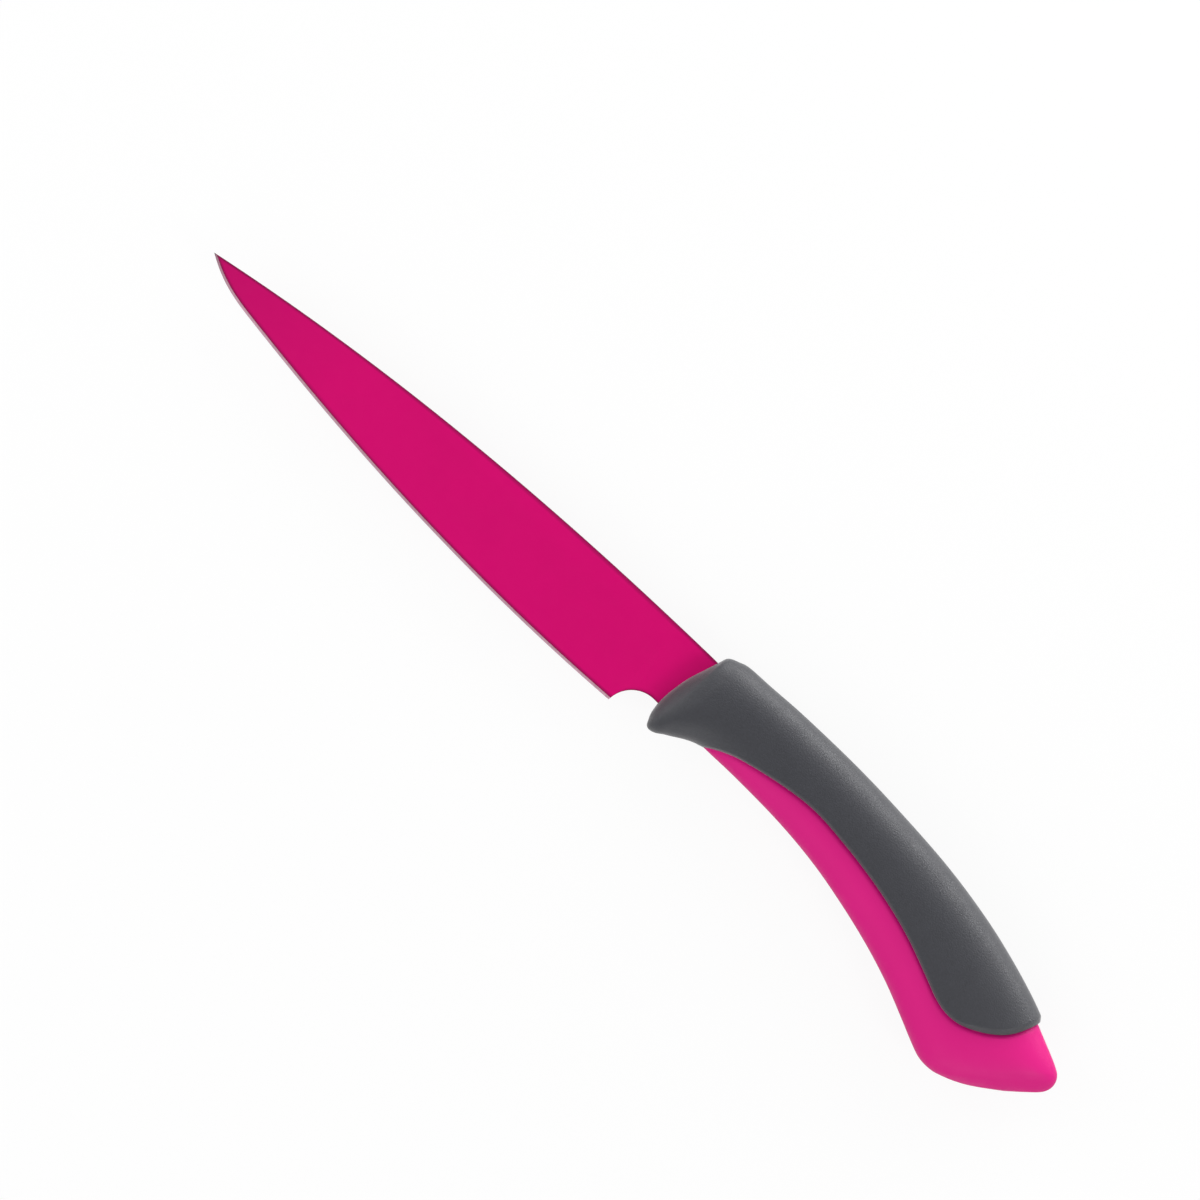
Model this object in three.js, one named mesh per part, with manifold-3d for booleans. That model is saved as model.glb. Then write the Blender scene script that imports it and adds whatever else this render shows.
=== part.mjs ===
// Slicing knife: a coated steel blade whose tang sits in a hard plastic core, with a soft grip
// moulded over the core. Millimetres. The knife lies on its side.
// It is drawn with X from the tip to the butt, 0 at the front of the grip, Y towards the spine,
// 0 at the tip, and Z through the thickness, 0 in the middle plane.
import * as THREE from 'three';
import { mergeVertices } from 'three/addons/utils/BufferGeometryUtils.js';
import Module from 'manifold-3d';

// Blade
const BLADE_LENGTH = 152.45;      // tip to the front of the grip
const STEEL_THICKNESS = 1.6;
const SPINE_RISE = 15.7;          // spine above the tip, at the grip
const POINT_LENGTH = 21.4;        // curved stretch of the edge at the tip
const POINT_DROP = 5.65;          // edge below the tip, where that stretch ends
const HEEL_DROP = 8.83;           // edge below the tip, at the heel
const HEEL_TO_GRIP = 10.85;
const CHOIL_RADIUS = 7.65;        // round notch between the heel and the neck
const GRIND_WIDTH = 19;           // flat grind on each side, measured up from the edge
const BEVEL_WIDTH = 0.62;         // bare sharpened strip, measured up from the edge
const BEVEL_THICKNESS = 0.5;      // steel left where the bevel begins
const EDGE_THICKNESS = 0.1;
const PLUNGE_LENGTH = 14;         // the grind runs out over this length behind the heel

// Tang
const SHOULDER_DEPTH = 4;         // the neck keeps its full depth this far into the grip
const TANG_LENGTH = 66;           // front of the grip to the end of the tang
const TANG_DEPTH = 8;
const TANG_HOLE_DIAMETER = 4.5;
const TANG_HOLE_COUNT = 3;
const TANG_HOLE_PITCH = 16;
const FIRST_TANG_HOLE = 22;       // from the front of the grip

// Handle
const HANDLE_LENGTH = 130;        // front of the grip to the butt
const HANDLE_WIDTH = 17;          // widest place of the core
const SLEEVE_WALL = 3.585;        // handle beyond the neck, on the spine side and on the belly side
const BUTT_DROP = 15.3;           // how far the handle bends down towards the butt
const SECTION_SQUARENESS = 2.5;   // 2 is an ellipse, and more is squarer
const CORE_FRONT = 5;             // front end of the core, inside the grip
const CORE_FRONT_WIDTH = 10;
const CORE_FRONT_WALL = 2.4;      // core round the tang, at its front end

// Grip
const GRIP_PROUD_SPINE = 1.5;     // grip above the core's own surface
const GRIP_PROUD_SIDE = 1.5;
const GRIP_PROUD_BELLY = 0.35;
const GRIP_INLAY = 1.4;           // depth of the core's rebate under the grip
const FIT_GAP = 0.3;              // clearance between the pieces

// Facets
const CURVE_STEPS = 12;
const STEPS_PER_RIB = 2;
const POINTS_PER_RIB = 28;
const EDGE_LINE_STEPS = 44;

const wasm = await Module();
wasm.setup();

const neckBottom = CHOIL_RADIUS - HEEL_DROP;
const axisHeight = (SPINE_RISE + neckBottom) / 2;
const handleDepth = SPINE_RISE - neckBottom + 2 * SLEEVE_WALL;
const tip = new THREE.Vector2(-BLADE_LENGTH, 0);
const heel = new THREE.Vector2(-HEEL_TO_GRIP, -HEEL_DROP);

// Solids and meshes

function solidOf(geometry) {
  geometry.deleteAttribute('normal');
  geometry.deleteAttribute('uv');
  const merged = mergeVertices(geometry);
  return new wasm.Manifold(new wasm.Mesh({
    numProp: 3,
    vertProperties: new Float32Array(merged.attributes.position.array),
    triVerts: new Uint32Array(merged.index.array),
  }));
}

function meshOf(name, solid, material) {
  const { vertProperties, triVerts } = solid.getMesh();
  const geometry = new THREE.BufferGeometry();
  geometry.setAttribute('position', new THREE.BufferAttribute(vertProperties, 3));
  geometry.setIndex(new THREE.BufferAttribute(triVerts, 1));
  geometry.computeVertexNormals();
  const mesh = new THREE.Mesh(geometry, material);
  mesh.name = name;
  return mesh;
}

// A plate of an outline in the XY plane, with its thickness shared by both sides of the middle plane.
function plate(shape, thickness) {
  const geometry = new THREE.ExtrudeGeometry(shape, {
    depth: thickness,
    bevelEnabled: false,
    curveSegments: CURVE_STEPS,
  });
  geometry.translate(0, 0, -thickness / 2);
  return solidOf(geometry);
}

// A closed skin over convex rings of points, in order. A ring of one point closes it, and any
// other end ring is filled flat. Seen along the run of the rings, a ring's points go clockwise.
function skinOver(rings) {
  const positions = [];
  const triangles = [];
  const starts = rings.map((ring) => {
    const start = positions.length / 3;
    ring.forEach((point) => positions.push(point.x, point.y, point.z));
    return start;
  });
  const count = Math.max(...rings.map((ring) => ring.length));
  const vertex = (ring, k) => starts[ring] + (k % rings[ring].length);
  for (let ring = 0; ring < rings.length - 1; ring += 1) {
    for (let k = 0; k < count; k += 1) {
      if (rings[ring].length > 1) {
        triangles.push(vertex(ring, k), vertex(ring, k + 1), vertex(ring + 1, k));
      }
      if (rings[ring + 1].length > 1) {
        triangles.push(vertex(ring, k + 1), vertex(ring + 1, k + 1), vertex(ring + 1, k));
      }
    }
  }
  const last = rings.length - 1;
  for (let k = 1; k < count - 1; k += 1) {
    if (rings[0].length > 1) triangles.push(vertex(0, 0), vertex(0, k + 1), vertex(0, k));
    if (rings[last].length > 1) triangles.push(vertex(last, 0), vertex(last, k), vertex(last, k + 1));
  }
  const geometry = new THREE.BufferGeometry();
  geometry.setAttribute('position', new THREE.Float32BufferAttribute(positions, 3));
  geometry.setIndex(triangles);
  return solidOf(geometry);
}

// Blade: a stamped blank with its tang, ground on both sides and sharpened

const spineHandles = [
  new THREE.Vector2(tip.x + 0.333 * BLADE_LENGTH, 0.686 * SPINE_RISE),
  new THREE.Vector2(tip.x + 0.67 * BLADE_LENGTH, 0.939 * SPINE_RISE),
];
const pointEnd = new THREE.Vector2(tip.x + POINT_LENGTH, -POINT_DROP);
const pointCurve = new THREE.CubicBezierCurve(
  tip,
  new THREE.Vector2(tip.x + 0.35 * POINT_LENGTH, -0.769 * POINT_DROP),
  new THREE.Vector2(tip.x + 0.6 * POINT_LENGTH, -0.822 * POINT_DROP),
  pointEnd,
);
const edgeRun = heel.x - pointEnd.x;
const edgeCurve = new THREE.CubicBezierCurve(
  pointEnd,
  new THREE.Vector2(pointEnd.x + 0.325 * edgeRun, -1.795 * POINT_DROP),
  new THREE.Vector2(pointEnd.x + 0.663 * edgeRun, -1.341 * HEEL_DROP),
  heel,
);

// Neck and tang from the spine side to the belly side, grown all round by a clearance.
function addTang(shape, grow) {
  const halfTang = TANG_DEPTH / 2 + grow;
  const shoulder = SHOULDER_DEPTH + grow;
  shape.lineTo(shoulder, SPINE_RISE + grow);
  shape.lineTo(shoulder, axisHeight + halfTang);
  shape.absarc(TANG_LENGTH - TANG_DEPTH / 2, axisHeight, halfTang, Math.PI / 2, -Math.PI / 2, true);
  shape.lineTo(shoulder, axisHeight - halfTang);
  shape.lineTo(shoulder, neckBottom - grow);
  for (let hole = 0; hole < TANG_HOLE_COUNT; hole += 1) {
    const x = FIRST_TANG_HOLE + hole * TANG_HOLE_PITCH;
    const path = new THREE.Path();
    path.absarc(x, axisHeight, TANG_HOLE_DIAMETER / 2 - grow, 0, 2 * Math.PI);
    shape.holes.push(path);
  }
}

function bladeBlank() {
  const choilX = heel.x + CHOIL_RADIUS;
  const shape = new THREE.Shape();
  shape.moveTo(tip.x, tip.y);
  shape.bezierCurveTo(...spineHandles[0], ...spineHandles[1], 0, SPINE_RISE);
  addTang(shape, 0);
  shape.lineTo(choilX, neckBottom);
  shape.absarc(choilX, heel.y, CHOIL_RADIUS, Math.PI / 2, Math.PI, false);
  shape.bezierCurveTo(...edgeCurve.v2, ...edgeCurve.v1, ...pointEnd);
  shape.bezierCurveTo(...pointCurve.v2, ...pointCurve.v1, ...tip);
  return plate(shape, STEEL_THICKNESS);
}

// The space that the neck and tang take up in the plastic, with their clearance.
function tangSpace() {
  const shape = new THREE.Shape();
  shape.moveTo(heel.x, neckBottom - FIT_GAP);
  shape.lineTo(heel.x, SPINE_RISE + FIT_GAP);
  addTang(shape, FIT_GAP);
  return plate(shape, STEEL_THICKNESS + 2 * FIT_GAP);
}

// What one pass of the grinder takes off one side: a wedge that follows the edge and lifts out
// behind the heel. Side is 1 or -1, half is the steel left at the edge and slope its rise.
function grindingPass(side, half, slope) {
  const below = BEVEL_WIDTH;
  const outside = STEEL_THICKNESS;
  const edge = [...pointCurve.getPoints(CURVE_STEPS), ...edgeCurve.getPoints(CURVE_STEPS).slice(1)];
  const start = edge[0].clone().add(edge[0]).sub(edge[1]);
  const ring = (x, y, lift) => {
    const points = [
      new THREE.Vector3(x, y - below, side * (half - below * slope + lift)),
      new THREE.Vector3(x, y - below, side * (outside + lift)),
      new THREE.Vector3(x, y + (outside - half) / slope, side * (outside + lift)),
    ];
    return side > 0 ? points.reverse() : points;
  };
  const rings = [start, ...edge].map((point) => ring(point.x, point.y, 0));
  rings.push(ring(heel.x + PLUNGE_LENGTH, heel.y, STEEL_THICKNESS));
  return skinOver(rings);
}

function bladeSolid() {
  const bevelSlope = (BEVEL_THICKNESS - EDGE_THICKNESS) / 2 / BEVEL_WIDTH;
  const grindSlope = (STEEL_THICKNESS - BEVEL_THICKNESS) / 2 / (GRIND_WIDTH - BEVEL_WIDTH);
  const grindHalf = BEVEL_THICKNESS / 2 - BEVEL_WIDTH * grindSlope;
  let blade = bladeBlank();
  for (const side of [1, -1]) {
    blade = blade.subtract(grindingPass(side, grindHalf, grindSlope));
    blade = blade.subtract(grindingPass(side, EDGE_THICKNESS / 2, bevelSlope));
  }
  return blade;
}

// Handle: skins over ribs. A rib runs from the spine side to the belly side and has a half width.

// A place on the side view, as shares of the handle's length and depth.
function place(along, across) {
  const bend = BUTT_DROP * along ** 3;
  return new THREE.Vector2(along * HANDLE_LENGTH, axisHeight + across * handleDepth - bend);
}

function rib([spineAlong, spineAcross, bellyAlong, bellyAcross, width]) {
  return {
    spine: place(spineAlong, spineAcross),
    belly: place(bellyAlong, bellyAcross),
    half: width * HANDLE_WIDTH / 2,
  };
}

// Ribs of the core, from behind the finger stop to the point that closes the butt.
const coreRibs = [
  [0.110, 0.495, 0.095, -0.341, 0.78],
  [0.191, 0.527, 0.183, -0.326, 0.82],
  [0.321, 0.560, 0.293, -0.322, 0.89],
  [0.439, 0.577, 0.388, -0.346, 0.93],
  [0.564, 0.595, 0.476, -0.398, 0.97],
  [0.678, 0.592, 0.564, -0.465, 0.99],
  [0.772, 0.571, 0.641, -0.541, 1.00],
  [0.852, 0.541, 0.707, -0.625, 1.00],
  [0.915, 0.499, 0.755, -0.684, 0.98],
  [0.968, 0.468, 0.784, -0.701, 0.91],
  [0.986, 0.431, 0.813, -0.665, 0.79],
  [0.992, 0.347, 0.838, -0.591, 0.60],
  [0.987, 0.245, 0.861, -0.505, 0.43],
  [0.971, 0.121, 0.887, -0.385, 0.30],
  [0.935, -0.124, 0.935, -0.124, 0.00],
].map(rib);
const ribsUnderGrip = coreRibs.slice(0, 10);

// Ribs of the grip's front end, from the point that closes it to the back of the finger stop.
const noseRibs = [
  [-0.016, -0.288, -0.016, -0.288, 0.00],
  [-0.013, -0.130, -0.014, -0.388, 0.26],
  [-0.007, 0.045, -0.011, -0.471, 0.44],
  [0.003, 0.215, -0.006, -0.533, 0.58],
  [0.012, 0.365, -0.001, -0.581, 0.67],
  [0.019, 0.456, 0.007, -0.598, 0.75],
  [0.038, 0.506, 0.020, -0.577, 0.83],
  [0.059, 0.540, 0.040, -0.506, 0.89],
].map(rib);

// The grip's edge on the side, from the belly to the spine side: the number of a core rib, and
// the place along it, which is 1 at its spine end and -1 at its belly end.
const gripEdge = [
  [0, -1.03], [0.5, -0.76], [1, -0.56], [2, -0.265], [3, -0.235], [4.5, -0.275], [5.9, -0.36],
  [6.6, -0.37], [7.1, -0.28], [7.42, -0.1], [7.68, 0.2], [7.74, 0.55], [7.56, 1],
];

function grownRib({ spine, belly, half }, onSpine, onBelly, onSide) {
  const outward = spine.clone().sub(belly).normalize();
  return {
    spine: spine.clone().addScaledVector(outward, onSpine),
    belly: belly.clone().addScaledVector(outward, -onBelly),
    half: half + onSide,
  };
}

// Smooth rails through the ribs' ends. The spine rail's z carries the half width.
function railsOf(ribs) {
  const rail = (points) => new THREE.CatmullRomCurve3(points, false, 'catmullrom');
  return {
    spine: rail(ribs.map(({ spine, half }) => new THREE.Vector3(spine.x, spine.y, half))),
    belly: rail(ribs.map(({ belly }) => new THREE.Vector3(belly.x, belly.y, 0))),
  };
}

// The ring of one section, a rounded box between the two rails.
function sectionRing(spine, belly) {
  const half = new THREE.Vector2(spine.x - belly.x, spine.y - belly.y).multiplyScalar(0.5);
  const middle = new THREE.Vector2(belly.x, belly.y).add(half);
  if (half.length() < FIT_GAP) return [new THREE.Vector3(middle.x, middle.y, 0)];
  return Array.from({ length: POINTS_PER_RIB }, (_, k) => {
    const angle = 2 * Math.PI * k / POINTS_PER_RIB;
    const [c, s] = [Math.cos(angle), Math.sin(angle)];
    const power = Math.abs(c) ** SECTION_SQUARENESS + Math.abs(s) ** SECTION_SQUARENESS;
    const reach = power ** (-1 / SECTION_SQUARENESS);
    const point = middle.clone().addScaledVector(half, reach * c);
    return new THREE.Vector3(point.x, point.y, spine.z * reach * s);
  });
}

function skinOverRibs(ribs) {
  const rails = railsOf(ribs);
  const steps = (ribs.length - 1) * STEPS_PER_RIB;
  const rings = Array.from({ length: steps + 1 }, (_, step) => {
    return sectionRing(rails.spine.getPoint(step / steps), rails.belly.getPoint(step / steps));
  });
  return skinOver(rings);
}

// Everything in front of the grip's edge, right through the handle, with a clearance outside it.
function gripField(grow) {
  const rails = railsOf(coreRibs);
  const across = new THREE.SplineCurve(gripEdge.map(([number, share]) => new THREE.Vector2(number, share)));
  const line = across.getPoints(EDGE_LINE_STEPS).map(({ x: number, y: share }) => {
    const spine = rails.spine.getPoint(number / (coreRibs.length - 1));
    const belly = rails.belly.getPoint(number / (coreRibs.length - 1));
    const point = belly.lerp(spine, (1 + share) / 2);
    return new THREE.Vector2(point.x, point.y);
  });
  const outline = line.map((point, k) => {
    const run = line[Math.min(k + 1, line.length - 1)].clone().sub(line[Math.max(k - 1, 0)]).normalize();
    return new THREE.Vector2(point.x + grow * run.y, point.y - grow * run.x);
  });
  const first = outline[0];
  const last = outline[outline.length - 1];
  const lowest = first.y - handleDepth;
  const highest = last.y + handleDepth;
  outline.unshift(new THREE.Vector2(-HANDLE_LENGTH, lowest), new THREE.Vector2(first.x, lowest));
  outline.push(new THREE.Vector2(last.x, highest), new THREE.Vector2(-HANDLE_LENGTH, highest));
  return plate(new THREE.Shape(outline), 2 * HANDLE_WIDTH);
}

// The core under the grip: sunk by the inlay, from its flat front end back past the grip's edge.
function sunkCore(grow) {
  const sink = GRIP_INLAY - grow;
  const halfFront = TANG_DEPTH / 2 + CORE_FRONT_WALL + grow;
  const frontRib = {
    spine: new THREE.Vector2(CORE_FRONT - grow, axisHeight + halfFront),
    belly: new THREE.Vector2(CORE_FRONT - grow, axisHeight - halfFront),
    half: CORE_FRONT_WIDTH / 2 + grow,
  };
  return skinOverRibs([frontRib, ...ribsUnderGrip.map((each) => grownRib(each, -sink, -sink, -sink))]);
}

function coreSolid() {
  return skinOverRibs(coreRibs).subtract(gripField(FIT_GAP)).add(sunkCore(0)).subtract(tangSpace());
}

function gripSolid() {
  const ribs = ribsUnderGrip.map((each) => {
    return grownRib(each, GRIP_PROUD_SPINE, GRIP_PROUD_BELLY, GRIP_PROUD_SIDE);
  });
  const outer = skinOverRibs([...noseRibs, ...ribs]);
  return outer.intersect(gripField(0)).subtract(sunkCore(FIT_GAP)).subtract(tangSpace());
}

// The knife, with its origin under the middle of the space that it takes up

const coatedSteel = new THREE.MeshStandardMaterial({ color: 0xce126a, roughness: 0.4, metalness: 0.3 });
const hardPlastic = new THREE.MeshStandardMaterial({ color: 0xd62680, roughness: 0.35, metalness: 0 });
const softPlastic = new THREE.MeshStandardMaterial({ color: 0x4a4b4e, roughness: 0.8, metalness: 0 });

const knife = new THREE.Group();
knife.add(meshOf('blade', bladeSolid(), coatedSteel));
knife.add(meshOf('handle_core', coreSolid(), hardPlastic));
knife.add(meshOf('grip', gripSolid(), softPlastic));

const space = new THREE.Box3().setFromObject(knife);
const centre = space.getCenter(new THREE.Vector3());
knife.position.set(-centre.x, -centre.y, -space.min.z);
knife.updateMatrixWorld(true);

export default knife;
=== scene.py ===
import math

import bmesh
import bpy
import numpy as np
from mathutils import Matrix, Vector
from mathutils.kdtree import KDTree


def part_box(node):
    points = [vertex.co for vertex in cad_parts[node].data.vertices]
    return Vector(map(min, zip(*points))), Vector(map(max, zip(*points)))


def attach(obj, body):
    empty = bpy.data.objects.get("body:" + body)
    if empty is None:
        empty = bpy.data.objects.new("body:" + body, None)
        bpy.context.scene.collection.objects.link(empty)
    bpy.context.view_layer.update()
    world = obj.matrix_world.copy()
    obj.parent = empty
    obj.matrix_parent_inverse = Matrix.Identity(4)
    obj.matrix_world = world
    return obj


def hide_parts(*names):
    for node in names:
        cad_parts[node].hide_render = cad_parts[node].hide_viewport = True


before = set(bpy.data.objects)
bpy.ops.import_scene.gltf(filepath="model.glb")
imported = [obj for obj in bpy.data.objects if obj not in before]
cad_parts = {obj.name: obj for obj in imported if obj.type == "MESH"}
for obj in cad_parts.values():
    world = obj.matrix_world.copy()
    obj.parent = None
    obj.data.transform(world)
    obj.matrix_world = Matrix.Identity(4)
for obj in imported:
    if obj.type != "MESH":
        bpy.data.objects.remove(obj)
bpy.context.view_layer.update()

# Blade
# One stamping of high-carbon stainless strip with its tang, ground flat on both sides towards the edge.
# A pink non-stick coat is baked on all over, and the last sharpening lays bare a strip of steel.

mm = 0.001                      # in metres
BLADE_LENGTH = 152.45 * mm      # tip to the front of the grip
STEEL_THICKNESS = 1.6 * mm
SPINE_RISE = 15.7 * mm          # spine above the tip, at the grip
POINT_LENGTH = 21.4 * mm        # curved stretch of the edge at the tip
POINT_DROP = 5.65 * mm          # edge below the tip, where that stretch ends
HEEL_DROP = 8.83 * mm           # edge below the tip, at the heel
HEEL_TO_GRIP = 10.85 * mm
CHOIL_RADIUS = 7.65 * mm        # round notch between the heel and the neck
GRIND_WIDTH = 19 * mm
BEVEL_WIDTH = 0.62 * mm         # bare sharpened strip
BEVEL_THICKNESS = 0.5 * mm
EDGE_THICKNESS = 0.1 * mm
PLUNGE_LENGTH = 14 * mm         # the grind runs out over this length behind the heel
CORNER_RADIUS = 0.22 * mm       # tumbled corners of the stamping
CORNER_LIMIT = 0.45             # a corner's radius is at most this share of half the thickness
EDGE_SHADE_REACH = 3.5                 # painted shade darkens the coat over this many corner radii
STRIP_EDGE_SHADE = 0.75                # the painted shade is lighter beside the bare strip than along the spine
SHOULDER_DEPTH = 4 * mm         # the neck keeps its full depth this far into the grip
TANG_LENGTH = 66 * mm
TANG_DEPTH = 8 * mm
TANG_OVERLAP = 1 * mm           # the tang's bar begins this far inside the neck
TANG_HOLE_DIAMETER = 4.5 * mm
TANG_HOLE_COUNT = 3
TANG_HOLE_PITCH = 16 * mm
FIRST_TANG_HOLE = 22 * mm

# Curves of the outline: start, two handles and end, as shares of the length, drop or rise that they cover.
POINT_ALONG = (0.0, 0.35, 0.6, 1.0)
POINT_DOWN = (0.0, -0.769, -0.822, -1.0)
EDGE_ALONG = (0.0, 0.325, 0.663, 1.0)
SPINE_UP = (0.0, 0.686, 0.939, 1.0)
EDGE_HANDLE_AT_POINT = 1.795    # of the point's drop
EDGE_HANDLE_AT_HEEL = 1.341     # of the heel's drop

# How the mesh is laid out and shaded.
STEPS_ALONG = (26, 120, 26, 8, 1)   # on the point, the edge, the notch, the neck and the end face
STEPS_UP = (6, 26, 5)           # on the bevel, the flat and the spine's corner
BEVEL_LIMIT = 0.8               # near the tip the bevel takes at most this share of the blade's height
SPINE_BAND = 1.5                # the steps on the spine's corner cover this many corner radii
SPINE_BAND_LIMIT = 0.1          # and at most this share of the blade's height
ROUND_END_SIDES = 50            # no corner of the round end lies on the tang's straight sides
HOLE_SIDES = 40
WELD_DISTANCE = 0.001 * mm
ALL_POINTS_BARE = 0.9           # a face is bare where the mean of its points is above this
CRISP_ANGLE = 40                # faces that meet at more degrees than this have a sharp edge

neck_bottom = CHOIL_RADIUS - HEEL_DROP
axis_height = (SPINE_RISE + neck_bottom) / 2
blade_low, blade_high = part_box("blade")
# The knife is drawn from the front of the grip, at the level of the tip, in the steel's middle plane.
origin = Vector((
    blade_low.x + BLADE_LENGTH,
    blade_high.y - SPINE_RISE,
    (blade_low.z + blade_high.z) / 2,
))


def add_node(tree, kind, values=None, **settings):
    """A node with its settings. Values go to inputs by name or number: sockets are linked, the rest set."""
    node = tree.nodes.new(kind)
    for name, value in settings.items():
        setattr(node, name, value)
    for key, value in (values or {}).items():
        if isinstance(value, bpy.types.NodeSocket):
            tree.links.new(value, node.inputs[key])
        else:
            node.inputs[key].default_value = value
    return node


class Amount:
    """A number in a node tree. Sums on it are written as in Python, and each adds a Math node."""

    def __init__(self, socket):
        self.socket = socket
        self.tree = socket.id_data

    def math(self, operation, *others, clamp=False):
        values = {k: getattr(v, "socket", v) for k, v in enumerate([self, *others])}
        node = add_node(self.tree, "ShaderNodeMath", values, operation=operation, use_clamp=clamp)
        return Amount(node.outputs[0])

    def __add__(self, other):
        return self.math("ADD", other)

    def __sub__(self, other):
        return self.math("SUBTRACT", other)

    def __mul__(self, other):
        return self.math("MULTIPLY", other)

    def __truediv__(self, other):
        return self.math("DIVIDE", other)

    def __pow__(self, other):
        return self.math("POWER", other)

    def __neg__(self):
        return self * -1.0

    def __radd__(self, other):
        return self + other

    def __rsub__(self, other):
        return -self + other

    __rmul__ = __mul__

    def least(self, other):
        return self.math("MINIMUM", other)

    def most(self, other):
        return self.math("MAXIMUM", other)

    def below(self, other):
        return self.math("LESS_THAN", other)

    def share(self):
        return self.math("ADD", 0.0, clamp=True)


def new_tree(name, sizes):
    """A geometry node tree with a named input for each size. Returns it, its inputs and its output node."""
    tree = bpy.data.node_groups.new(name, "GeometryNodeTree")
    for size in sizes:
        tree.interface.new_socket(size, in_out="INPUT", socket_type="NodeSocketFloat")
    tree.interface.new_socket("Geometry", in_out="OUTPUT", socket_type="NodeSocketGeometry")
    given = add_node(tree, "NodeGroupInput")
    inputs = {size: Amount(given.outputs[size]) for size in sizes}
    return tree, inputs, add_node(tree, "NodeGroupOutput")


def mesh_from_tree(name, tree, sizes):
    """Runs a tree with its sizes set, and returns an object that holds the plain mesh it makes."""
    thing = bpy.data.objects.new(name, bpy.data.meshes.new(name))
    bpy.context.scene.collection.objects.link(thing)
    modifier = thing.modifiers.new(name, "NODES")
    modifier.node_group = tree
    for socket in tree.interface.items_tree:
        if socket.in_out == "INPUT":
            modifier[socket.identifier] = float(sizes[socket.name])
    evaluated = thing.evaluated_get(bpy.context.evaluated_depsgraph_get())
    thing.data = bpy.data.meshes.new_from_object(evaluated)
    thing.data.name = name
    thing.modifiers.remove(modifier)
    return thing


def stretches(index, counts):
    """Splits a running number into stretches of so many steps. Each grows from 0 to 1 in its turn."""
    starts = [sum(counts[:k]) for k in range(len(counts))]
    return [((index - start) / count).share() for start, count in zip(starts, counts)]


def bezier(t, a, b, c, d):
    """A cubic through a and d, drawn towards b and c."""
    back = 1.0 - t
    return back ** 3.0 * a + 3.0 * back * back * t * b + 3.0 * back * t * t * c + t ** 3.0 * d


def vector(tree, x, y, z):
    parts = {k: getattr(v, "socket", v) for k, v in enumerate([x, y, z])}
    return add_node(tree, "ShaderNodeCombineXYZ", parts).outputs[0]


def moved(tree, geometry, x, y, z):
    values = {"Geometry": geometry, "Translation": vector(tree, x, y, z)}
    return add_node(tree, "GeometryNodeTransform", values).outputs[0]


def joined(tree, operation, first, *others):
    """A boolean of meshes in a tree."""
    node = add_node(tree, "GeometryNodeMeshBoolean", operation=operation, solver="MANIFOLD")
    if operation == "DIFFERENCE":
        tree.links.new(first, node.inputs["Mesh 1"])
    else:
        others = [first, *others]
    for other in others:
        tree.links.new(other, node.inputs["Mesh 2"])
    return node.outputs["Mesh"]


def tang_plate(tree, size, grow):
    """The tang: a bar with a round end and a row of holes, grown all round by a clearance."""
    thick = size["Steel thickness"] + 2.0 * grow
    radius = size["Tang depth"] / 2.0 + grow
    start = size["Shoulder depth"] - TANG_OVERLAP
    end = size["Tang length"] - size["Tang depth"] / 2.0
    bar = add_node(tree, "GeometryNodeMeshCube", {"Size": vector(tree, end - start, 2.0 * radius, thick)})
    bar = moved(tree, bar.outputs["Mesh"], (start + end) / 2.0, axis_height, 0.0)
    end_values = {"Vertices": ROUND_END_SIDES, "Radius": radius.socket, "Depth": thick.socket}
    round_end = add_node(tree, "GeometryNodeMeshCylinder", end_values)
    round_end = moved(tree, round_end.outputs["Mesh"], end, axis_height, 0.0)
    row_values = {
        "Count": TANG_HOLE_COUNT,
        "Start Location": vector(tree, size["First hole"], axis_height, 0.0),
        "Offset": vector(tree, size["Hole pitch"], 0.0, 0.0),
    }
    row = add_node(tree, "GeometryNodeMeshLine", row_values)
    hole_values = {
        "Vertices": HOLE_SIDES,
        "Radius": (size["Hole diameter"] / 2.0 - grow).socket,
        "Depth": (thick * 2.0).socket,
    }
    hole = add_node(tree, "GeometryNodeMeshCylinder", hole_values)
    holes_values = {"Points": row.outputs["Mesh"], "Instance": hole.outputs["Mesh"]}
    holes = add_node(tree, "GeometryNodeInstanceOnPoints", holes_values)
    holes = add_node(tree, "GeometryNodeRealizeInstances", {"Geometry": holes.outputs["Instances"]})
    return joined(tree, "DIFFERENCE", joined(tree, "UNION", bar, round_end), holes.outputs["Geometry"])


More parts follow.
